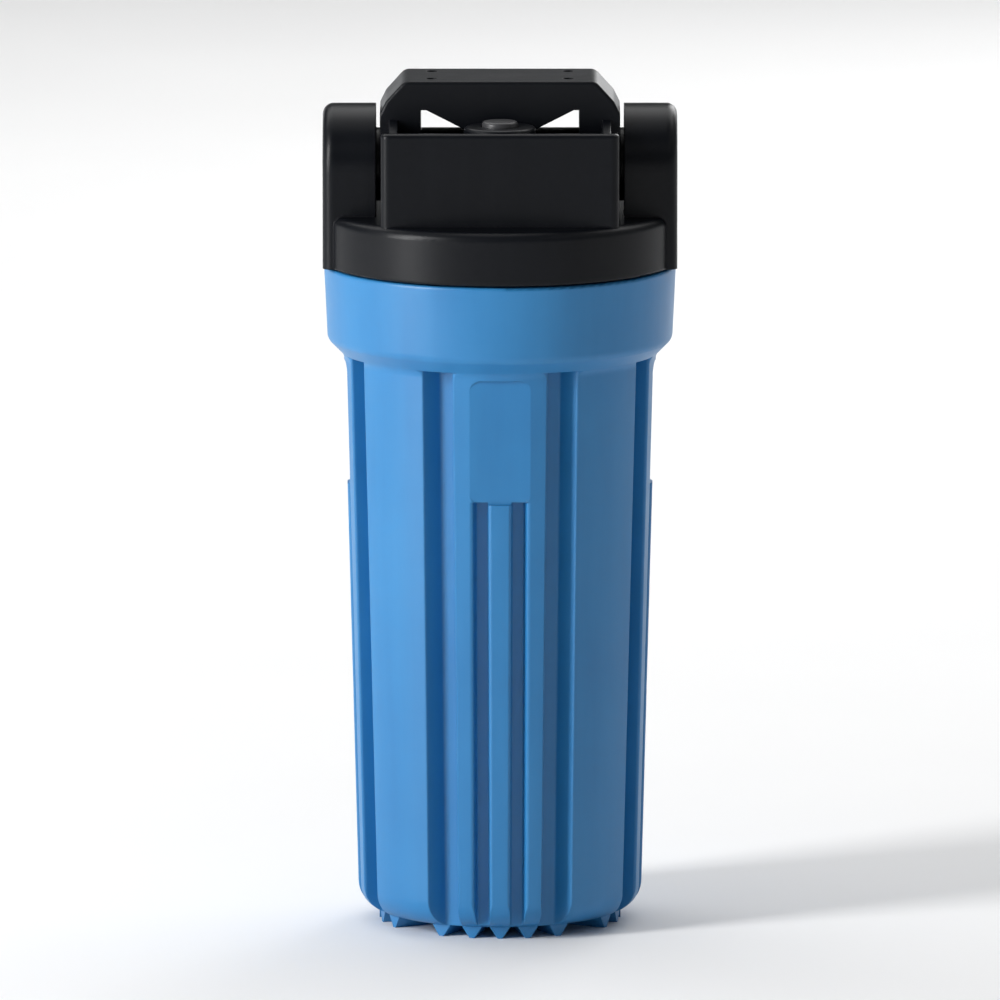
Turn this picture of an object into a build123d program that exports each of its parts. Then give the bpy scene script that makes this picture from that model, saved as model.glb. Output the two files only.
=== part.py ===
import math
import os

from build123d import *

os.makedirs("parts", exist_ok=True)

# ---- driving dimensions, mm, z = 0 at the sump's foot ribs, front is -Y ----
HEIGHT = 314.0
CAP_R = 65.0

# sump
FOOT_H = 4.0
BODY_R_LOW = 52.3
BODY_R_HIGH = 57.4
BODY_TOP = 211.0
BOTTOM_ROUND = 10.5
COLLAR_R_LOW = 63.4
COLLAR_R_HIGH = 64.7
COLLAR_LOW = 217.0
SUMP_TOP = 244.4
CAVITY_R_LOW = 41.5
CAVITY_R_HIGH = 46.5
CAVITY_FLOOR = 7.5
LEDGE = 219.0
SEAT_R = 19.0
SEAT_LOW = 9.0

# flutes on the sump wall, degrees off each quarter's middle; each section lists its inner
# and outer half widths at the wall and at the floor, its depth and its two roundings
WIDE_FLUTE_AT = 23.0
WIDE_FLUTE = (5.2, 6.5, 4.4, 2.5, 7.2, 1.0, 1.0)
NARROW_FLUTE_AT = 7.3
NARROW_FLUTE = (2.8, 2.8, 2.3, 2.3, 4.8, 0.8, 0.6)
NARROW_FLUTE_TOP = 164.0
TONGUE_HALF = 11.5
TONGUE_LOW = 163.0
TONGUE_HIGH = 209.0
TONGUE_DEEP = 1.1
FOOT_ANGLES = (0.0, 13.4, -13.4, 29.0, -29.0)

# main thread between cap and sump
PITCH = 6.35
MALE_ROOT = 54.4
MALE_CREST = 57.0
FEMALE_ROOT = 57.6
FEMALE_CREST = 55.0
FLANK_GAP = 0.35
THREAD_LOW = 222.0
THREAD_RUN = 2.4 * PITCH

# cap
SKIRT_LOW = 245.0
SKIRT_TOP = 264.5
PLUG_LOW = 219.4
PLUG_BORE = 49.0
WALL_Y = 48.0
WALL_T = 5.0
WALL_TOP = 298.5
BLOCK_X = 43.5
DECK = 286.0
ROOF_LOW = 258.0
ROOF = 266.0
ROOF_R = 42.0
NECK_LOW = 239.8
NECK_R = 57.1
O_GROOVE_R = 54.3
O_SECTION_R = 1.5
O_Z = 242.45

# ports, 3/4 inch pipe thread drawn as parallel rings
PORT_Z = 281.0
PORT_BOSS_R = 22.5
PORT_MINOR = 12.1
PORT_MAJOR = 13.05
PORT_PITCH = 1.814
PORT_TURNS = 6
PORT_PLAIN = 5.0
PORT_DEEP = 19.0
PORT_BORE = 10.5
BARREL_R = 13.5
BOSS_IN = 45.5

# bracket saddle
SADDLE_Y = 18.0
SADDLE_X = 44.0
SCREW_X = 25.0
SCREW_Y = 10.0
SCREW_R = 2.0
SCREW_DEEP = 7.0

# relief valve
RELIEF_Y = -33.0
RELIEF_BOSS_R = 13.0
RELIEF_BOSS_TOP = 299.5
BUTTON_R = 6.6
BUTTON_BORE = 7.0
BUTTON_FLOOR = 287.0
BUTTON_LOW = 294.0
BUTTON_TOP = 301.5
STEM_R = 2.0
STEM_BORE = 2.08
STEM_LOW = 260.2
SPRING_WIRE = 0.45
SPRING_R = 4.6

# cartridge
SPIGOT_R = 12.4
SPIGOT_BORE = 9.5
SPIGOT_LOW = 250.0
SEAT_HIGH = 256.6
CART_BORE = 13.4
CART_R = 32.0
GASKET_T = 3.0
END_CAP_T = 6.0
PLEATS = 48
CORE_OUTER = 15.6
NET_R = 31.9
NET_T = 0.6

body_slope = (BODY_R_HIGH - BODY_R_LOW) / (BODY_TOP - FOOT_H - BOTTOM_ROUND)


def body_r(z):
    """Outer radius of the plain sump wall at height z."""
    return BODY_R_HIGH - (BODY_TOP - z) * body_slope


def wall_plane(angle, z):
    """Plane square to the tapered wall's slant: x along the rim, y outward."""
    a = math.radians(angle - 90.0)
    out = Vector(math.cos(a), math.sin(a), 0)
    up = (Vector(0, 0, 1) + out * body_slope).normalized()
    rim = Vector(math.sin(a), -math.cos(a), 0)
    return Plane(origin=out * body_r(z) + Vector(0, 0, z), x_dir=rim, z_dir=up)


def flute(side, inner, outer, inner_floor, outer_floor, deep, edge_round, floor_round):
    """Section of one flute about the wall surface, its outer flank on the given side."""
    out = -side
    with BuildSketch(mode=Mode.PRIVATE) as s:
        with BuildLine():
            Polyline(
                (-out * (inner + 6.0), 5.0),
                (-out * (inner + 6.0), 1.5),
                (-out * inner, -0.5),
                (-out * inner_floor, -deep),
                (out * outer_floor, -deep),
                (out * outer, -0.5),
                (out * (outer + 6.0), 1.5),
                (out * (outer + 6.0), 5.0),
                close=True,
            )
        make_face()
        shoulders = [v for v in s.vertices() if abs(v.Y + 0.5) < 0.01]
        fillet(shoulders, edge_round)
        floor = [v for v in s.vertices() if abs(v.Y + deep) < 0.01]
        fillet(floor, floor_round)
    return s.sketch


def male_half(r):
    """Half thickness of the plug's thread ridge at radius r."""
    return 1.8 - (r - MALE_ROOT) / (MALE_CREST - MALE_ROOT)


def female_half(r):
    """Half thickness of the collar's thread ridge at radius r."""
    return PITCH / 2 - male_half(r) - FLANK_GAP


def thread_ridge(path_r, foot_r, crest_r, half):
    """Helical ridge of the main thread with its foot sunk into the wall."""
    with BuildPart(mode=Mode.PRIVATE) as ridge:
        with BuildLine() as path:
            Helix(PITCH, THREAD_RUN, path_r, center=(0, 0, THREAD_LOW))
        with BuildSketch(Plane.XZ):
            with BuildLine():
                Polyline(
                    (foot_r, THREAD_LOW - half(foot_r)),
                    (crest_r, THREAD_LOW - half(crest_r)),
                    (crest_r, THREAD_LOW + half(crest_r)),
                    (foot_r, THREAD_LOW + half(foot_r)),
                    close=True,
                )
            make_face()
        sweep(path=path.wires()[0], is_frenet=True)
    return ridge.part


# ---- sump ----
with BuildPart() as sump:
    with BuildSketch(Plane.XZ) as sump_outline:
        with BuildLine():
            Polyline(
                (0, FOOT_H),
                (body_r(FOOT_H), FOOT_H),
                (body_r(BODY_TOP), BODY_TOP),
                (COLLAR_R_LOW, COLLAR_LOW),
                (COLLAR_R_HIGH, SUMP_TOP),
                (0, SUMP_TOP),
                close=True,
            )
        make_face()
        low = [v for v in sump_outline.vertices() if v.Y < FOOT_H + 1 and v.X > 1]
        fillet(low, BOTTOM_ROUND)
        neck = [v for v in sump_outline.vertices() if abs(v.Y - BODY_TOP) < 0.01]
        fillet(neck, 4.0)
        knee = [v for v in sump_outline.vertices() if abs(v.Y - COLLAR_LOW) < 0.01]
        fillet(knee, 4.0)
        lip = [v for v in sump_outline.vertices() if v.Y > SUMP_TOP - 1 and v.X > 1]
        fillet(lip, 1.0)
    revolve(axis=Axis.Z)
    # flat tongue let into the wall above the narrow ribs on each quarter
    for quarter in (0, 90, 180, 270):
        tongue = wall_plane(quarter, (TONGUE_LOW + TONGUE_HIGH) / 2)
        face = Plane(origin=tongue.origin, x_dir=tongue.x_dir, z_dir=tongue.y_dir)
        with BuildSketch(face.offset(-TONGUE_DEEP)) as tongue_face:
            Rectangle(2 * TONGUE_HALF, TONGUE_HIGH - TONGUE_LOW)
            lower = tongue_face.vertices().group_by(Axis.Z)[0]
            fillet(lower, 5.0)
        extrude(amount=3.0, mode=Mode.SUBTRACT)
    # wide flutes run the full height, narrow ones stop under the tongue
    for quarter in (0, 90, 180, 270):
        for side in (-1, 1):
            at = wall_plane(quarter + side * WIDE_FLUTE_AT, -6.0)
            with BuildSketch(at):
                add(flute(side, *WIDE_FLUTE))
            extrude(amount=BODY_TOP + 7.0, mode=Mode.SUBTRACT)
            at = wall_plane(quarter + side * NARROW_FLUTE_AT, -6.0)
            with BuildSketch(at):
                add(flute(side, *NARROW_FLUTE))
            extrude(amount=NARROW_FLUTE_TOP + 6.0, mode=Mode.SUBTRACT)
    # foot ribs under each quarter
    with BuildSketch(Plane.XZ.offset(27.0)) as foot_section:
        with BuildLine():
            Polyline(
                (-3.6, 6.0),
                (-3.6, FOOT_H),
                (-0.9, 0),
                (0.9, 0),
                (3.6, FOOT_H),
                (3.6, 6.0),
                close=True,
            )
        make_face()
    foot = extrude(amount=17.5, mode=Mode.PRIVATE)
    for quarter in (0, 90, 180, 270):
        for angle in FOOT_ANGLES:
            add(foot.rotate(Axis.Z, quarter + angle))
    # cavity, ledge and threaded mouth
    with BuildSketch(Plane.XZ) as cavity:
        with BuildLine():
            Polyline(
                (0, CAVITY_FLOOR),
                (CAVITY_R_LOW, CAVITY_FLOOR),
                (CAVITY_R_HIGH, BODY_TOP),
                (CAVITY_R_HIGH, LEDGE),
                (FEMALE_ROOT, LEDGE),
                (FEMALE_ROOT, SUMP_TOP - 0.5),
                (FEMALE_ROOT + 0.5, SUMP_TOP),
                (FEMALE_ROOT + 0.5, SUMP_TOP + 1),
                (0, SUMP_TOP + 1),
                close=True,
            )
        make_face()
        corner = [v for v in cavity.vertices() if v.Y < CAVITY_FLOOR + 0.1 and v.X > 1]
        fillet(corner, 7.0)
    revolve(axis=Axis.Z, mode=Mode.SUBTRACT)
    # raised sealing edge and centring post for the cartridge
    with BuildSketch(Plane.XZ):
        with BuildLine():
            Polyline(
                (SEAT_R - 1.6, CAVITY_FLOOR - 0.5),
                (SEAT_R - 0.4, SEAT_LOW),
                (SEAT_R + 0.4, SEAT_LOW),
                (SEAT_R + 1.6, CAVITY_FLOOR - 0.5),
                close=True,
            )
        make_face()
    revolve(axis=Axis.Z)
    with BuildSketch(Plane.XZ):
        with BuildLine():
            Polyline(
                (0, CAVITY_FLOOR - 0.5),
                (12.6, CAVITY_FLOOR - 0.5),
                (12.2, 18.0),
                (9.8, 22.0),
                (0, 22.0),
                close=True,
            )
        make_face()
    revolve(axis=Axis.Z)
    # thread ridge in the mouth, half a turn round from the plug's
    add(thread_ridge(FEMALE_ROOT, FEMALE_ROOT + 0.6, FEMALE_CREST, female_half).rotate(Axis.Z, 180))
sump.part.label = "sump"
export_step(sump.part, "parts/sump.step")


# ---- cap ----
def port_boss(side):
    """Arch-shaped boss for one port, side -1 for the inlet and 1 for the outlet."""
    with BuildPart(mode=Mode.PRIVATE) as boss:
        with BuildSketch(Plane.YZ.offset(0)):
            with Locations((0, PORT_Z)):
                Circle(PORT_BOSS_R)
            with Locations((0, (PORT_Z + SKIRT_LOW) / 2)):
                Rectangle(2 * PORT_BOSS_R, PORT_Z - SKIRT_LOW)
        extrude(amount=CAP_R)
        mouth = [e for e in boss.edges() if e.center().X > CAP_R - 0.1]
        rim = [e for e in mouth if e.center().Z > SKIRT_LOW + 1]
        fillet(rim, 4.0)
        with BuildSketch(Plane.YZ.offset(BOSS_IN)):
            with Locations((0, PORT_Z)):
                Rectangle(80, 80)
        extrude(amount=-BOSS_IN, mode=Mode.SUBTRACT)
    return boss.part if side > 0 else boss.part.rotate(Axis.Z, 180)


with BuildPart() as cap:
    with BuildSketch(Plane.XZ) as skirt_outline:
        with BuildLine():
            Polyline(
                (0, PLUG_LOW),
                (MALE_ROOT - 1.0, PLUG_LOW),
                (MALE_ROOT, PLUG_LOW + 1.0),
                (MALE_ROOT, NECK_LOW),
                (NECK_R, NECK_LOW),
                (NECK_R, SKIRT_LOW),
                (CAP_R, SKIRT_LOW),
                (CAP_R, SKIRT_TOP),
                (0, SKIRT_TOP),
                close=True,
            )
        make_face()
        crown = [v for v in skirt_outline.vertices() if v.Y > SKIRT_TOP - 1 and v.X > 1]
        fillet(crown, 3.5)
        outer = [v for v in skirt_outline.vertices() if v.X > CAP_R - 1]
        hem = [v for v in outer if abs(v.Y - SKIRT_LOW) < 0.1]
        fillet(hem, 0.8)
    revolve(axis=Axis.Z)
    # block between the ports
    with BuildSketch(Plane.XY.offset(SKIRT_TOP - 4.0)) as block_plan:
        Rectangle(2 * BLOCK_X, 2 * WALL_Y)
        fillet(block_plan.vertices(), 3.0)
    extrude(amount=DECK - SKIRT_TOP + 4.0)
    deck_edges = [e for e in cap.edges() if e.center().Z > DECK - 0.1]
    deck_rim = [e for e in deck_edges if e.center().Y > WALL_Y - 0.1]
    fillet(deck_rim, 1.5)
    with BuildSketch(Plane.XY.offset(SKIRT_TOP - 3.0)) as wall_plan:
        with Locations((0, -WALL_Y + WALL_T / 2)):
            Rectangle(2 * BLOCK_X, WALL_T)
        outer = [v for v in wall_plan.vertices() if v.Y < -WALL_Y + 0.1]
        fillet(outer, 3.0)
    extrude(amount=WALL_TOP - SKIRT_TOP + 3.0)
    wall_rim = cap.edges().filter_by(lambda e: e.center().Z > WALL_TOP - 0.1)
    fillet(wall_rim, 1.5)
    # port barrel with a boss at each end
    with BuildSketch(Plane.YZ.offset(-50.0)):
        with Locations((0, PORT_Z)):
            Circle(BARREL_R)
    extrude(amount=100.0)
    add(port_boss(1))
    add(port_boss(-1))
    # saddle for the wall bracket
    with BuildSketch(Plane.XZ.offset(SADDLE_Y)) as saddle:
        with BuildLine():
            Polyline(
                (-SADDLE_X, DECK - 8),
                (-SADDLE_X, 302.0),
                (-SADDLE_X + 2.2, 306.5),
                (-35.0, HEIGHT),
                (35.0, HEIGHT),
                (SADDLE_X - 2.2, 306.5),
                (SADDLE_X, 302.0),
                (SADDLE_X, DECK - 8),
                close=True,
            )
        make_face()
        top = [v for v in saddle.vertices() if v.Y > 303]
        fillet(top, 4.0)
        for side in (-1, 1):
            with BuildLine():
                Polyline(
                    (side * 13.3, DECK),
                    (side * 13.3, 296.4),
                    (side * 27.0, 303.4),
                    (side * 29.0, 303.4),
                    (side * 29.0, DECK),
                    close=True,
                )
            make_face(mode=Mode.SUBTRACT)
    extrude(amount=-2 * SADDLE_Y)
    high = [e for e in cap.edges() if e.center().Z > 303.8]
    top_rim = [e for e in high if abs(abs(e.center().Y) - SADDLE_Y) < 0.05]
    fillet(top_rim, 1.2)
    # ribs joining the saddle's legs to the front wall
    for x in (-39.0, 39.0):
        with BuildSketch(Plane.YZ.offset(x - 1.5)):
            with BuildLine():
                Polyline(
                    (-WALL_Y + 1, DECK - 2),
                    (-WALL_Y + 1, 295.0),
                    (-SADDLE_Y + 1, 300.0),
                    (-SADDLE_Y + 1, DECK - 2),
                    close=True,
                )
            make_face()
        extrude(amount=3.0)
    # relief valve boss
    with BuildSketch(Plane.XY.offset(DECK - 2)):
        with Locations((0, RELIEF_Y)):
            Circle(RELIEF_BOSS_R)
    extrude(amount=RELIEF_BOSS_TOP - DECK + 2)
    boss_rim = cap.edges().filter_by(GeomType.CIRCLE).filter_by(
        lambda e: abs(e.center().Z - RELIEF_BOSS_TOP) < 0.05
    )
    fillet(boss_rim, 1.2)
    # inside: plug bore and roof
    with BuildSketch(Plane.XZ):
        with BuildLine():
            Polyline(
                (0, PLUG_LOW - 1),
                (PLUG_BORE, PLUG_LOW - 1),
                (PLUG_BORE, ROOF_LOW - 3),
                (ROOF_R, ROOF_LOW),
                (ROOF_R, ROOF),
                (0, ROOF),
                close=True,
            )
        make_face()
    revolve(axis=Axis.Z, mode=Mode.SUBTRACT)
    # hub, sealing edge and spigot for the cartridge
    with BuildSketch(Plane.XZ):
        with BuildLine():
            Polyline(
                (0, ROOF + 1),
                (22.6, ROOF + 1),
                (21.5, SEAT_HIGH + 1.8),
                (SEAT_R + 1.2, SEAT_HIGH + 1.8),
                (SEAT_R + 0.4, SEAT_HIGH),
                (SEAT_R - 0.4, SEAT_HIGH),
                (SEAT_R - 1.2, SEAT_HIGH + 1.8),
                (SPIGOT_R, SEAT_HIGH + 1.8),
                (SPIGOT_R, SPIGOT_LOW + 1.0),
                (SPIGOT_R - 1.0, SPIGOT_LOW),
                (0, SPIGOT_LOW),
                close=True,
            )
        make_face()
    revolve(axis=Axis.Z)
    # water ways: outlet up the spigot, inlet down into the plug
    with BuildSketch(Plane.XY.offset(SPIGOT_LOW - 1)):
        Circle(SPIGOT_BORE)
    extrude(amount=PORT_Z - SPIGOT_LOW + 1, mode=Mode.SUBTRACT)
    with BuildSketch(Plane.YZ):
        with Locations((0, PORT_Z)):
            Circle(PORT_BORE)
    extrude(amount=CAP_R - PORT_DEEP + 1, mode=Mode.SUBTRACT)
    with BuildSketch(Plane.XY.offset(ROOF - 1)):
        with Locations((-33.0, 0)):
            Circle(8.2)
    extrude(amount=PORT_Z - ROOF + 1, mode=Mode.SUBTRACT)
    with BuildSketch(Plane.YZ.offset(-24.0)):
        with Locations((0, PORT_Z)):
            Circle(PORT_BORE)
    extrude(amount=-(CAP_R - PORT_DEEP - 24.0 + 1), mode=Mode.SUBTRACT)
    # port sockets with a short lead-in
    for side in (-1, 1):
        with BuildSketch(Plane.YZ.offset(side * (CAP_R + 1))):
            with Locations((0, PORT_Z)):
                Circle(PORT_MINOR)
        extrude(amount=-side * (PORT_DEEP + 1), mode=Mode.SUBTRACT)
        with BuildSketch(Plane.YZ.offset(side * (CAP_R - 2.4))):
            with Locations((0, PORT_Z)):
                Circle(PORT_MINOR)
        with BuildSketch(Plane.YZ.offset(side * (CAP_R + 0.01))):
            with Locations((0, PORT_Z)):
                Circle(PORT_MAJOR + 1.4)
        loft(mode=Mode.SUBTRACT)
        for turn in range(PORT_TURNS):
            x = side * (CAP_R - PORT_DEEP + PORT_PLAIN + turn * PORT_PITCH)
            with BuildSketch(Plane.XY.offset(PORT_Z)):
                with BuildLine():
                    Polyline(
                        (x - 0.55, PORT_MINOR - 0.3),
                        (x - 0.08, PORT_MAJOR),
                        (x + 0.08, PORT_MAJOR),
                        (x + 0.55, PORT_MINOR - 0.3),
                        close=True,
                    )
                make_face()
            revolve(axis=Axis((0, 0, PORT_Z), (1, 0, 0)), mode=Mode.SUBTRACT)
    # relief valve bores
    with BuildSketch(Plane.XY.offset(BUTTON_FLOOR)):
        with Locations((0, RELIEF_Y)):
            Circle(BUTTON_BORE)
    extrude(amount=20, mode=Mode.SUBTRACT)
    with BuildSketch(Plane.XY.offset(ROOF - 1)):
        with Locations((0, RELIEF_Y)):
            Circle(STEM_BORE)
    extrude(amount=BUTTON_FLOOR - ROOF + 2, mode=Mode.SUBTRACT)
    # bracket screw pilots
    with BuildSketch(Plane.XY.offset(HEIGHT - SCREW_DEEP)):
        with GridLocations(2 * SCREW_X, 2 * SCREW_Y, 2, 2):
            Circle(SCREW_R)
    extrude(amount=SCREW_DEEP + 1, mode=Mode.SUBTRACT)
    # ring groove at the top of the plug
    with BuildSketch(Plane.XZ):
        with Locations((O_GROOVE_R + 4.0, O_Z)):
            Rectangle(8.0, 2 * O_SECTION_R + 0.3)
    revolve(axis=Axis.Z, mode=Mode.SUBTRACT)
    # thread ridge on the plug
    add(thread_ridge(MALE_ROOT, MALE_ROOT - 0.6, MALE_CREST, male_half))
cap.part.label = "cap"
export_step(cap.part, "parts/cap.step")

# ---- sealing ring on the plug ----
with BuildPart() as cap_o_ring:
    with BuildSketch(Plane.XZ):
        with Locations((O_GROOVE_R + 0.15 + O_SECTION_R, O_Z)):
            Circle(O_SECTION_R)
    revolve(axis=Axis.Z)
cap_o_ring.part.label = "cap_o_ring"
export_step(cap_o_ring.part, "parts/cap_o_ring.step")

# ---- relief valve ----
with BuildPart() as relief_button:
    with BuildSketch(Plane.XY.offset(BUTTON_LOW)):
        with Locations((0, RELIEF_Y)):
            Circle(BUTTON_R)
    extrude(amount=BUTTON_TOP - BUTTON_LOW)
    fillet(relief_button.edges().group_by(Axis.Z)[-1], 1.2)
    with BuildSketch(Plane.XY.offset(BUTTON_LOW - 1)):
        with Locations((0, RELIEF_Y)):
            Circle(STEM_R)
    extrude(amount=4.0, mode=Mode.SUBTRACT)
relief_button.part.label = "relief_button"
export_step(relief_button.part, "parts/relief_button.step")

with BuildPart() as relief_stem:
    with BuildSketch(Plane.XY.offset(STEM_LOW)):
        with Locations((0, RELIEF_Y)):
            Circle(STEM_R)
    extrude(amount=BUTTON_LOW + 3.0 - STEM_LOW)
    with BuildSketch(Plane.XY.offset(ROOF - 3.4)):
        with Locations((0, RELIEF_Y)):
            Circle(STEM_R + 1)
            Circle(STEM_R - 0.5, mode=Mode.SUBTRACT)
    extrude(amount=1.2, mode=Mode.SUBTRACT)
relief_stem.part.label = "relief_stem"
export_step(relief_stem.part, "parts/relief_stem.step")

with BuildPart() as relief_seal:
    with BuildSketch(Plane.XY.offset(ROOF - 2.0 - 0.05)):
        with Locations((0, RELIEF_Y)):
            Circle(5.5)
            Circle(STEM_R, mode=Mode.SUBTRACT)
    extrude(amount=2.0)
relief_seal.part.label = "relief_seal"
export_step(relief_seal.part, "parts/relief_seal.step")

with BuildPart() as relief_clip:
    with BuildSketch(Plane.XY.offset(ROOF - 3.25)):
        with Locations((0, RELIEF_Y)):
            Circle(4.2)
            Circle(STEM_R - 0.5, mode=Mode.SUBTRACT)
        with Locations((0, RELIEF_Y - 4.0)):
            Rectangle(2.2, 7.0, mode=Mode.SUBTRACT)
    extrude(amount=0.9)
relief_clip.part.label = "relief_clip"
export_step(relief_clip.part, "parts/relief_clip.step")

with BuildPart() as relief_spring:
    with BuildLine() as coil:
        Helix(
            1.55,
            BUTTON_LOW - BUTTON_FLOOR - 2 * SPRING_WIRE,
            SPRING_R,
            center=(0, RELIEF_Y, BUTTON_FLOOR + SPRING_WIRE),
        )
    with BuildSketch(Plane(origin=coil.wires()[0] @ 0, z_dir=coil.wires()[0] % 0)):
        Circle(SPRING_WIRE)
    sweep(path=coil.wires()[0], is_frenet=True)
relief_spring.part.label = "relief_spring"
export_step(relief_spring.part, "parts/relief_spring.step")

# ---- filter cartridge ----
media_low = SEAT_LOW + GASKET_T + END_CAP_T
media_high = SEAT_HIGH - GASKET_T - END_CAP_T


def washer(z, thick, outer, inner):
    """Flat ring from height z."""
    with BuildPart(mode=Mode.PRIVATE) as ring:
        with BuildSketch(Plane.XY.offset(z)):
            Circle(outer)
            Circle(inner, mode=Mode.SUBTRACT)
        extrude(amount=thick)
    return ring.part


with BuildPart() as cartridge_bottom_gasket:
    add(washer(SEAT_LOW, GASKET_T, 27.0, CART_BORE))
cartridge_bottom_gasket.part.label = "cartridge_bottom_gasket"
export_step(cartridge_bottom_gasket.part, "parts/cartridge_bottom_gasket.step")

with BuildPart() as cartridge_top_gasket:
    add(washer(SEAT_HIGH - GASKET_T, GASKET_T, 27.0, CART_BORE))
cartridge_top_gasket.part.label = "cartridge_top_gasket"
export_step(cartridge_top_gasket.part, "parts/cartridge_top_gasket.step")

with BuildPart() as cartridge_bottom_cap:
    add(washer(SEAT_LOW + GASKET_T, END_CAP_T, CART_R, CART_BORE))
    fillet(cartridge_bottom_cap.edges().group_by(Axis.Z)[0].sort_by(SortBy.LENGTH)[-1], 1.0)
cartridge_bottom_cap.part.label = "cartridge_bottom_cap"
export_step(cartridge_bottom_cap.part, "parts/cartridge_bottom_cap.step")

with BuildPart() as cartridge_top_cap:
    add(washer(media_high, END_CAP_T, CART_R, CART_BORE))
    fillet(cartridge_top_cap.edges().group_by(Axis.Z)[-1].sort_by(SortBy.LENGTH)[-1], 1.0)
cartridge_top_cap.part.label = "cartridge_top_cap"
export_step(cartridge_top_cap.part, "parts/cartridge_top_cap.step")

with BuildPart() as cartridge_core:
    add(washer(media_low, media_high - media_low, CORE_OUTER, CART_BORE))
    rows = 15
    step = (media_high - media_low) / rows
    for turn in (0, 60, 120):
        with BuildSketch(Plane.XZ.rotated((0, 0, turn))):
            with Locations((0, (media_low + media_high) / 2)):
                with GridLocations(0, step, 1, rows):
                    SlotOverall(8.0, 4.0, rotation=90)
        extrude(amount=20, both=True, mode=Mode.SUBTRACT)
cartridge_core.part.label = "cartridge_core"
export_step(cartridge_core.part, "parts/cartridge_core.step")

with BuildPart() as cartridge_media:
    tip = NET_R - NET_T - 0.4
    root = CORE_OUTER + 0.9
    points = []
    for fold in range(PLEATS):
        a = math.tau * fold / PLEATS
        b = math.tau * (fold + 0.5) / PLEATS
        points.append((tip * math.cos(a), tip * math.sin(a)))
        points.append((root * math.cos(b), root * math.sin(b)))
    with BuildSketch(Plane.XY.offset(media_low)):
        with BuildLine():
            Polyline(*points, close=True)
        make_face()
        Circle(CORE_OUTER + 0.1, mode=Mode.SUBTRACT)
    extrude(amount=media_high - media_low)
cartridge_media.part.label = "cartridge_media"
export_step(cartridge_media.part, "parts/cartridge_media.step")

with BuildPart() as cartridge_netting:
    add(washer(media_low, media_high - media_low, NET_R, NET_R - NET_T))
    rows = 12
    step = (media_high - media_low) / rows
    for turn in range(8):
        with BuildSketch(Plane.XZ.rotated((0, 0, turn * 22.5))):
            with Locations((0, (media_low + media_high) / 2)):
                with GridLocations(0, step, 1, rows):
                    Rectangle(10.2, step - 2.0)
        extrude(amount=40, both=True, mode=Mode.SUBTRACT)
cartridge_netting.part.label = "cartridge_netting"
export_step(cartridge_netting.part, "parts/cartridge_netting.step")
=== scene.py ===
import math
import random

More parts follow.
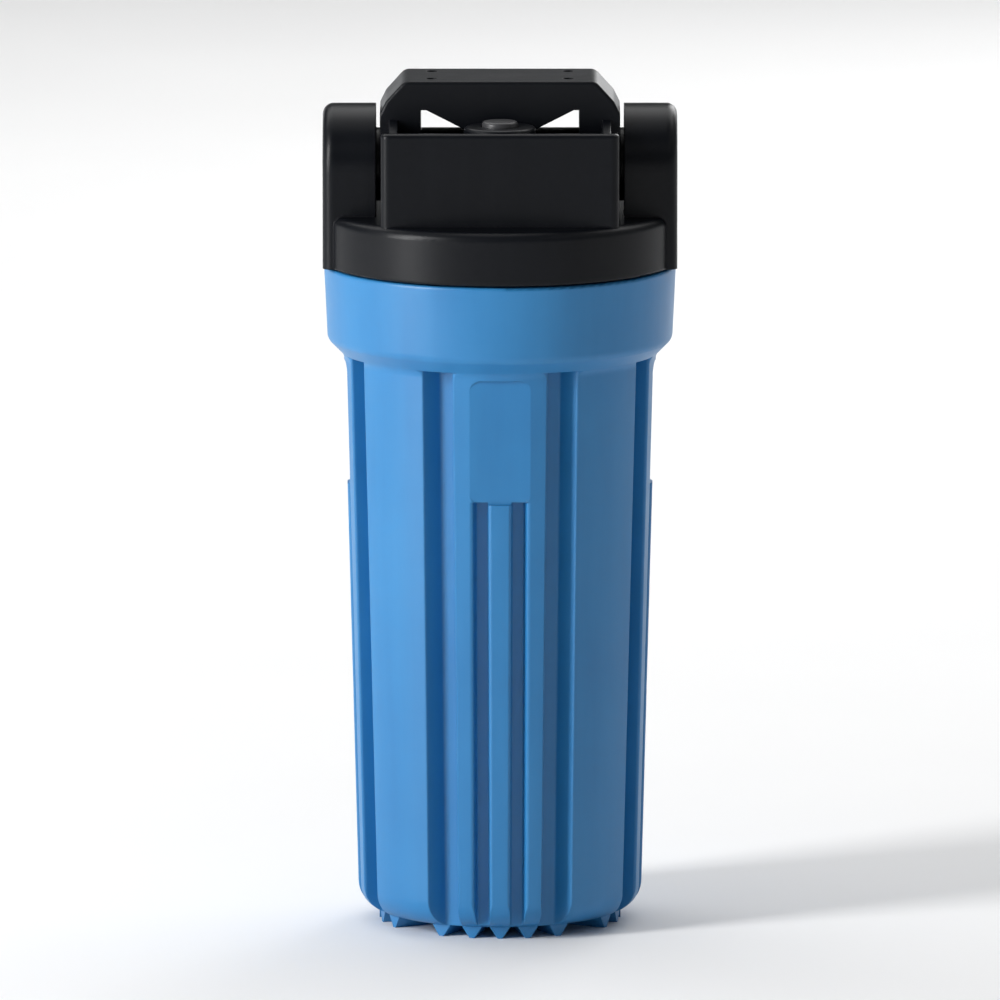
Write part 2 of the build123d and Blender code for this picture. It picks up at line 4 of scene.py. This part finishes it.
import bmesh
import bpy
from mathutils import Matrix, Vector


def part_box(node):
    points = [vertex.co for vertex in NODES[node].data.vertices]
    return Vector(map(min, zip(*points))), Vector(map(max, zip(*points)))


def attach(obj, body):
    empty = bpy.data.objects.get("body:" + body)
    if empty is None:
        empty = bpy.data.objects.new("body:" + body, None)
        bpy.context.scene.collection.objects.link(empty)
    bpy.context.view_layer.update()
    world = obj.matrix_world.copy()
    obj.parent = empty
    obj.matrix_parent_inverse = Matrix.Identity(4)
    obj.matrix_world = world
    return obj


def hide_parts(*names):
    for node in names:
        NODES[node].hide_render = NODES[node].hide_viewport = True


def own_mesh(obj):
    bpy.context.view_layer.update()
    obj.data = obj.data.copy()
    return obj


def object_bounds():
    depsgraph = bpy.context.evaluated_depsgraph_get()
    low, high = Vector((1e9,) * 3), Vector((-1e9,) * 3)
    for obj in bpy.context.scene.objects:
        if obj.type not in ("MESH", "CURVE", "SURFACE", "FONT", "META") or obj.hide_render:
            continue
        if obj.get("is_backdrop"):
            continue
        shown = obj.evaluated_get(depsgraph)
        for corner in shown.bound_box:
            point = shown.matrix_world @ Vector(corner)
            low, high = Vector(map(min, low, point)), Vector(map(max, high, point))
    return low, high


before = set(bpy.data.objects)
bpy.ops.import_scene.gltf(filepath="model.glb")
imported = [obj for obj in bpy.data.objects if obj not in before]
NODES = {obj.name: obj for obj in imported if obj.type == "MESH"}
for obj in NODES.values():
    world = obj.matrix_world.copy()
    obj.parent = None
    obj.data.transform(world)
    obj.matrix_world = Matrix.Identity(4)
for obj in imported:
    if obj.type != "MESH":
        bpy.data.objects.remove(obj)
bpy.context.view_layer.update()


# ---------------------------------------------------------------- materials
class Graph:
    """A node material being built: short calls that add and link shader nodes."""

    def __init__(self, name):
        self.mat = bpy.data.materials.new(name)
        self.mat.use_nodes = True
        self.tree = self.mat.node_tree
        self.tree.nodes.clear()
        self.out = self.add("ShaderNodeOutputMaterial")
        self.bsdf = self.add("ShaderNodeBsdfPrincipled")
        self.link(self.bsdf.outputs[0], self.out.inputs["Surface"])
        self.coords = self.add("ShaderNodeTexCoord").outputs["Object"]

    def add(self, kind, **settings):
        """New node of one kind, with its settings."""
        node = self.tree.nodes.new(kind)
        for key, value in settings.items():
            setattr(node, key, value)
        return node

    def link(self, a, b):
        self.tree.links.new(a, b)

    def stretched(self, x, y, z):
        """Object coordinates scaled along each axis."""
        m = self.add("ShaderNodeMapping")
        m.inputs["Scale"].default_value = (x, y, z)
        self.link(self.coords, m.inputs["Vector"])
        return m.outputs[0]

    def noise(self, scale, detail=3.0, rough=0.5, vector=None):
        """Noise from 0 to 1, on object coordinates unless told otherwise."""
        n = self.add("ShaderNodeTexNoise")
        n.inputs["Scale"].default_value = scale
        n.inputs["Detail"].default_value = detail
        n.inputs["Roughness"].default_value = rough
        self.link(vector or self.coords, n.inputs["Vector"])
        return n.outputs["Fac"]

    def ramp(self, factor, stops):
        """Colour from a factor, through (position, colour) stops."""
        r = self.add("ShaderNodeValToRGB")
        e = r.color_ramp.elements
        e[0].position, e[0].color = stops[0][0], (*stops[0][1], 1)
        e[1].position, e[1].color = stops[-1][0], (*stops[-1][1], 1)
        for at, colour in stops[1:-1]:
            new = e.new(at)
            new.color = (*colour, 1)
        self.link(factor, r.inputs[0])
        return r.outputs[0]

    def span(self, factor, low, high):
        """Maps 0..1 to low..high."""
        m = self.add("ShaderNodeMapRange")
        m.inputs["To Min"].default_value = low
        m.inputs["To Max"].default_value = high
        self.link(factor, m.inputs["Value"])
        return m.outputs[0]

    def math(self, op, a, b):
        """One sum on two values, each a number or a socket."""
        m = self.add("ShaderNodeMath", operation=op)
        for socket, value in zip(m.inputs, (a, b)):
            if isinstance(value, (int, float)):
                socket.default_value = value
            else:
                self.link(value, socket)
        return m.outputs[0]

    def bump(self, height, distance, strength, normal=None):
        """Normal from a height, over another normal if one is given."""
        b = self.add("ShaderNodeBump")
        b.inputs["Strength"].default_value = strength
        b.inputs["Distance"].default_value = distance
        self.link(height, b.inputs["Height"])
        if normal is not None:
            self.link(normal, b.inputs["Normal"])
        return b.outputs[0]

    def soft_edges(self, radius):
        """Normal that rounds the edges to a radius."""
        b = self.add("ShaderNodeBevel", samples=4)
        b.inputs["Radius"].default_value = radius
        return b.outputs[0]

    def set(self, **values):
        """Sets numbers on the shader's own sockets."""
        for key, value in values.items():
            self.bsdf.inputs[key.replace("_", " ")].default_value = value

    def wire(self, **sources):
        """Links sources into the shader's sockets."""
        for key, source in sources.items():
            self.link(source, self.bsdf.inputs[key.replace("_", " ")])


# noise scales, features to the metre
MOTTLE = 14
FLOW_ACROSS, FLOW_ALONG = 90, 7
WEAR = 55
WAVINESS = 38
TOOL_GRAIN = 2600
DUST = 70
RUBBER_SHEEN = 220
RUBBER_GRAIN = 1500
BRUSH_ACROSS, BRUSH_ALONG = 300, 2400
CLOUD = 45
FIBRE_ACROSS, FIBRE_ALONG = 1800, 500


def polypropylene(name, deep, plain, pale, rough, edge, grain, shine=0.5):
    """Moulded plastic: faint flow streaks, soft mottling, fine tool grain and rounded edges."""
    g = Graph(name)
    mottle = g.noise(MOTTLE, 4, 0.55)
    streak = g.noise(1.0, 3, 0.6, g.stretched(FLOW_ACROSS, FLOW_ACROSS, FLOW_ALONG))
    tone = g.math("ADD", g.math("MULTIPLY", mottle, 0.6), g.math("MULTIPLY", streak, 0.4))
    g.wire(Base_Color=g.ramp(tone, [(0.3, deep), (0.5, plain), (0.72, pale)]))
    wear = g.noise(WEAR, 5, 0.6)
    g.wire(Roughness=g.span(wear, rough - 0.05, rough + 0.07))
    rounded = g.soft_edges(edge)
    wave = g.bump(g.noise(WAVINESS, 2, 0.4), distance=0.0004, strength=0.25, normal=rounded)
    fine = g.bump(g.noise(TOOL_GRAIN, 2, 0.5), distance=grain, strength=0.35, normal=wave)
    g.wire(Normal=fine)
    g.set(IOR=1.49, Specular_IOR_Level=shine)
    return g.mat


def rubber(name, colour, rough):
    """Rubber with a little pale dust."""
    g = Graph(name)
    dust = g.noise(DUST, 5, 0.6)
    pale = tuple(min(1, c * 1.9 + 0.006) for c in colour)
    g.wire(Base_Color=g.ramp(dust, [(0.38, colour), (0.75, pale)]))
    g.wire(Roughness=g.span(g.noise(RUBBER_SHEEN, 3), rough - 0.06, rough + 0.08))
    grain = g.noise(RUBBER_GRAIN, 3)
    g.wire(Normal=g.bump(grain, distance=0.00006, strength=0.4, normal=g.soft_edges(0.0002)))
    g.set(IOR=1.52, Specular_IOR_Level=0.4)
    return g.mat


def steel(name):
    """Stainless steel with fine lines round it."""
    g = Graph(name)
    lines = g.noise(1.0, 3, 0.6, g.stretched(BRUSH_ACROSS, BRUSH_ACROSS, BRUSH_ALONG))
    g.wire(Base_Color=g.ramp(lines, [(0.3, (0.44, 0.44, 0.45)), (0.7, (0.64, 0.64, 0.65))]))
    g.wire(Roughness=g.span(lines, 0.2, 0.36))
    g.wire(Normal=g.bump(lines, distance=0.00002, strength=0.3, normal=g.soft_edges(0.00015)))
    g.set(Metallic=1.0, IOR=2.0)
    return g.mat


def paper(name):
    """Pleated polyester: matted fibres with faint unevenness."""
    g = Graph(name)
    cloud = g.noise(CLOUD, 5, 0.65)
    fibre = g.noise(1.0, 4, 0.7, g.stretched(FIBRE_ACROSS, FIBRE_ACROSS, FIBRE_ALONG))
    both = g.math("ADD", g.math("MULTIPLY", cloud, 0.5), g.math("MULTIPLY", fibre, 0.5))
    stops = [(0.3, (0.62, 0.6, 0.55)), (0.55, (0.82, 0.81, 0.77)), (0.8, (0.9, 0.9, 0.88))]
    g.wire(Base_Color=g.ramp(both, stops))
    g.wire(Roughness=g.span(fibre, 0.82, 0.96))
    g.wire(Normal=g.bump(fibre, distance=0.00025, strength=0.6))
    g.set(IOR=1.5, Specular_IOR_Level=0.3)
    return g.mat


blue = polypropylene(
    "sump_polypropylene",
    deep=(0.016, 0.160, 0.39),
    plain=(0.021, 0.185, 0.43),
    pale=(0.028, 0.208, 0.465),
    rough=0.38,
    edge=0.0007,
    grain=0.00005,
)
black = polypropylene(
    "cap_polypropylene",
    deep=(0.0024, 0.0031, 0.0048),
    plain=(0.0032, 0.0040, 0.0060),
    pale=(0.0048, 0.0058, 0.0080),
    rough=0.33,
    edge=0.0007,
    grain=0.00006,
    shine=0.2,
)
grey = polypropylene(
    "button_plastic",
    deep=(0.026, 0.026, 0.028),
    plain=(0.034, 0.034, 0.037),
    pale=(0.045, 0.045, 0.048),
    rough=0.4,
    edge=0.0004,
    grain=0.00005,
)
white = polypropylene(
    "cartridge_plastic",
    deep=(0.74, 0.75, 0.75),
    plain=(0.80, 0.81, 0.81),
    pale=(0.86, 0.87, 0.87),
    rough=0.45,
    edge=0.0003,
    grain=0.00005,
)
nitrile = rubber("ring_rubber", (0.012, 0.012, 0.012), rough=0.42)
sheet_rubber = rubber("gasket_rubber", (0.03, 0.03, 0.03), rough=0.7)
stainless = steel("valve_steel")
media = paper("filter_media")

FINISH = {
    "sump": blue,
    "cap": black,
    "cap_o_ring": nitrile,
    "relief_button": grey,
    "relief_stem": stainless,
    "relief_seal": nitrile,
    "relief_clip": stainless,
    "relief_spring": stainless,
    "cartridge_media": media,
    "cartridge_core": white,
    "cartridge_netting": white,
    "cartridge_top_cap": white,
    "cartridge_bottom_cap": white,
    "cartridge_top_gasket": sheet_rubber,
    "cartridge_bottom_gasket": sheet_rubber,
}
for node_name, finish in FINISH.items():
    obj = NODES[node_name]
    if not obj.material_slots:
        obj.data.materials.append(finish)
    for material_slot in obj.material_slots:
        material_slot.material = finish


# ------------------------------------------------------------------- pieces
def mesh_object(name, verts, faces, material):
    """Smooth mesh with outward faces and one material."""
    mesh = bpy.data.meshes.new(name)
    mesh.from_pydata(verts, [], faces)
    mesh.validate()
    mesh.polygons.foreach_set("use_smooth", [True] * len(mesh.polygons))
    mesh.materials.append(material)
    obj = bpy.data.objects.new(name, mesh)
    bpy.context.scene.collection.objects.link(obj)
    bm = bmesh.new()
    bm.from_mesh(mesh)
    bmesh.ops.recalc_face_normals(bm, faces=bm.faces)
    bm.to_mesh(mesh)
    bm.free()
    return obj


def tube(points, radius, sides, verts, faces):
    """Adds a round tube along points, with its ends closed."""
    base = len(verts)
    count = len(points)
    side = None
    for i, p in enumerate(points):
        ahead = points[min(i + 1, count - 1)]
        behind = points[max(i - 1, 0)]
        t = (ahead - behind).normalized()
        if side is None:
            side = t.orthogonal().normalized()
        side = (side - t * side.dot(t)).normalized()
        up = t.cross(side)
        for k in range(sides):
            a = math.tau * k / sides
            verts.append(p + side * (radius * math.cos(a)) + up * (radius * math.sin(a)))
    for i in range(count - 1):
        for k in range(sides):
            a = base + i * sides + k
            b = base + i * sides + (k + 1) % sides
            faces.append((a, b, b + sides, a + sides))
    faces.append(tuple(base + k for k in reversed(range(sides))))
    faces.append(tuple(base + (count - 1) * sides + k for k in range(sides)))


rng = random.Random(11)

# relief spring, its coils closer together at both ends
low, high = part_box("relief_spring")
wire_r = 0.00045
coil_r = (high.x - low.x) / 2 - wire_r
mid_x, mid_y = (low.x + high.x) / 2, (low.y + high.y) / 2
turns = 5.2
spring_steps = 240
eased, even = 0.55, 0.45
line = []
for i in range(spring_steps + 1):
    t = i / spring_steps
    rise = t * t * (3 - 2 * t) * eased + t * even
    a = math.tau * turns * t
    line.append(
        Vector(
            (
                mid_x + coil_r * math.cos(a),
                mid_y + coil_r * math.sin(a),
                low.z + wire_r + (high.z - low.z - 2 * wire_r) * rise,
            )
        )
    )
v, f = [], []
tube(line, wire_r, sides=12, verts=v, faces=f)
spring = mesh_object("relief_spring_coil", v, f, stainless)
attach(spring, "cap_body")
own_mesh(spring)
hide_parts("relief_spring")

# pleated media: rounded folds that lean and wander a little
low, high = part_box("cartridge_media")
tip_clear = 0.0006
tip_r = high.x - tip_clear
root_r = 0.0166
middle_r = (tip_r + root_r) / 2
half_fold = (tip_r - root_r) / 2
half_sheet = 0.00028
pleats = 60
levels = 34
per_fold = 12
most_lean = 0.2
depth_low, depth_high = -0.0004, 0.0001
lean = [rng.uniform(-most_lean, most_lean) for _ in range(pleats)]
deep = [rng.uniform(depth_low, depth_high) for _ in range(pleats)]
tip_round = 0.62
fold_full = 0.985
sway_rate, sway_size = 0.37, 0.35
steady, swaying = 0.6, 0.4
v, f = [], []
ring_count = pleats * per_fold
for level in range(levels + 1):
    z = low.z + (high.z - low.z) * level / levels
    sway = math.sin(level * sway_rate) * sway_size
    for layer in (-1, 1):
        for i in range(ring_count):
            fold, part = divmod(i, per_fold)
            t = part / per_fold
            wave = math.cos(math.tau * t)
            shaped = math.copysign(abs(wave) ** tip_round, wave)
            here = middle_r + half_fold * shaped * fold_full + deep[fold] * max(shaped, 0)
            here += layer * half_sheet * wave
            a = math.tau * (fold + t) / pleats
            bend = lean[fold] * (1 - t) + lean[(fold + 1) % pleats] * t
            bend *= steady + swaying * sway
            a += bend * (math.tau / pleats) * (here - root_r) / (tip_r - root_r)
            a += layer * half_sheet * math.sin(math.tau * t) / here
            v.append((here * math.cos(a), here * math.sin(a), z))
for level in range(levels):
    for layer in range(2):
        at = (level * 2 + layer) * ring_count
        up = at + 2 * ring_count
        for i in range(ring_count):
            j = (i + 1) % ring_count
            f.append((at + i, at + j, up + j, up + i))
for level in (0, levels):
    at = level * 2 * ring_count
    for i in range(ring_count):
        j = (i + 1) % ring_count
        f.append((at + i, at + j, at + ring_count + j, at + ring_count + i))
folds = mesh_object("pleated_media", v, f, media)
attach(folds, "sump_body")
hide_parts("cartridge_media")

# extruded diamond netting round the pleats
low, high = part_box("cartridge_netting")
strand_r = 0.00042
net_clear = 0.0005
net_r = high.x - net_clear
weave = 0.00012
strands = 20
strand_steps = 60
twist = 4.6
v, f = [], []
for way in (-1, 1):
    for s in range(strands):
        line = []
        for i in range(strand_steps + 1):
            t = i / strand_steps
            a = math.tau * s / strands + way * t * twist
            r = net_r + way * weave
            z = low.z + strand_r + t * (high.z - low.z - 2 * strand_r)
            line.append(Vector((r * math.cos(a), r * math.sin(a), z)))
        tube(line, strand_r, sides=6, verts=v, faces=f)
net = mesh_object("diamond_netting", v, f, white)
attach(net, "sump_body")
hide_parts("cartridge_netting")


# -------------------------------------------------------------------- stage
def floor():
    """Round level floor, open on every side so that no view is blocked."""
    reach, rings, sectors = 3.0, 6, 64
    v, f = [(0.0, 0.0, 0.0)], []
    for ring in range(1, rings + 1):
        for sector in range(sectors):
            a = math.tau * sector / sectors
            r = reach * ring / rings
            v.append((r * math.cos(a), r * math.sin(a), 0.0))
    for sector in range(sectors):
        after = (sector + 1) % sectors
        f.append((0, 1 + sector, 1 + after))
        for ring in range(rings - 1):
            at = 1 + ring * sectors
            f.append((at + sector, at + sectors + sector, at + sectors + after, at + after))
    g = Graph("studio_floor")
    g.wire(Base_Color=g.ramp(g.noise(2, 3), [(0.3, (0.86, 0.86, 0.86)), (0.7, (0.9, 0.9, 0.9))]))
    g.wire(Roughness=g.span(g.noise(6, 2), 0.85, 0.95))
    g.set(Specular_IOR_Level=0.1)
    return mesh_object("floor", v, f, g.mat)


floor()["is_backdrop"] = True


def softbox(name, at, aim, size, power):
    """White area light, its power in watts."""
    light = bpy.data.lights.new(name, "AREA")
    light.shape = "RECTANGLE"
    light.size, light.size_y = size
    light.energy = power
    obj = bpy.data.objects.new(name, light)
    obj.location = at
    obj.rotation_euler = (Vector(aim) - Vector(at)).to_track_quat("-Z", "Y").to_euler()
    bpy.context.scene.collection.objects.link(obj)


softbox("key_left", (-1.75, -1.0, 0.85), (0, 0, 0.17), (0.45, 1.4), 49)
softbox("top", (-0.2, 0.1, 1.9), (0, 0, 0.2), (1.0, 1.0), 3)
softbox("back_rim", (0.9, 2.2, 1.1), (0, 0, 0.17), (0.8, 1.2), 14)
softbox("floor_behind", (0, 1.9, 2.6), (0, 2.0, 0.0), (5.0, 2.4), 78)
softbox("floor_before", (0, -2.6, 2.2), (0, -2.9, 0.0), (5.0, 2.0), 10)
for side, word in ((-1, "left"), (1, "right")):
    softbox("floor_beside_" + word, (side * 2.9, 0, 1.3), (side * 3.0, 0, 0), (2.0, 5.0), 10)


def studio_world():
    """Room that is pale up to the horizon and fades to dim above it."""
    fade_start, fade_end = 0.05, 0.14
    pale, dim = 0.92, 0.05
    world = bpy.data.worlds.new("studio")
    world.use_nodes = True
    tree = world.node_tree
    back = tree.nodes["Background"]
    back.inputs["Color"].default_value = (0.96, 0.98, 1.0, 1)
    split = tree.nodes.new("ShaderNodeSeparateXYZ")
    tree.links.new(tree.nodes.new("ShaderNodeTexCoord").outputs["Generated"], split.inputs[0])
    fade = tree.nodes.new("ShaderNodeMapRange")
    fade.inputs["From Min"].default_value = fade_start
    fade.inputs["From Max"].default_value = fade_end
    fade.inputs["To Min"].default_value = pale
    fade.inputs["To Max"].default_value = dim
    tree.links.new(split.outputs["Z"], fade.inputs["Value"])
    tree.links.new(fade.outputs[0], back.inputs["Strength"])
    return world


bpy.context.scene.world = studio_world()

# camera at the photograph's long-lens angle
ELEVATION = math.radians(9.2)
DISTANCE = 6.445
SENSOR_MM = 36
LENS_MM = 630
target = Vector((0, 0, 0.156))
camera_data = bpy.data.cameras.new("camera")
camera_data.sensor_width = SENSOR_MM
camera_data.lens = LENS_MM
camera = bpy.data.objects.new("camera", camera_data)
camera.location = target + Vector((0, -math.cos(ELEVATION), math.sin(ELEVATION))) * DISTANCE
camera.rotation_euler = (target - camera.location).to_track_quat("-Z", "Y").to_euler()
bpy.context.scene.collection.objects.link(camera)
bpy.context.scene.camera = camera
bpy.context.scene.view_settings.view_transform = "Standard"

low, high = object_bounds()
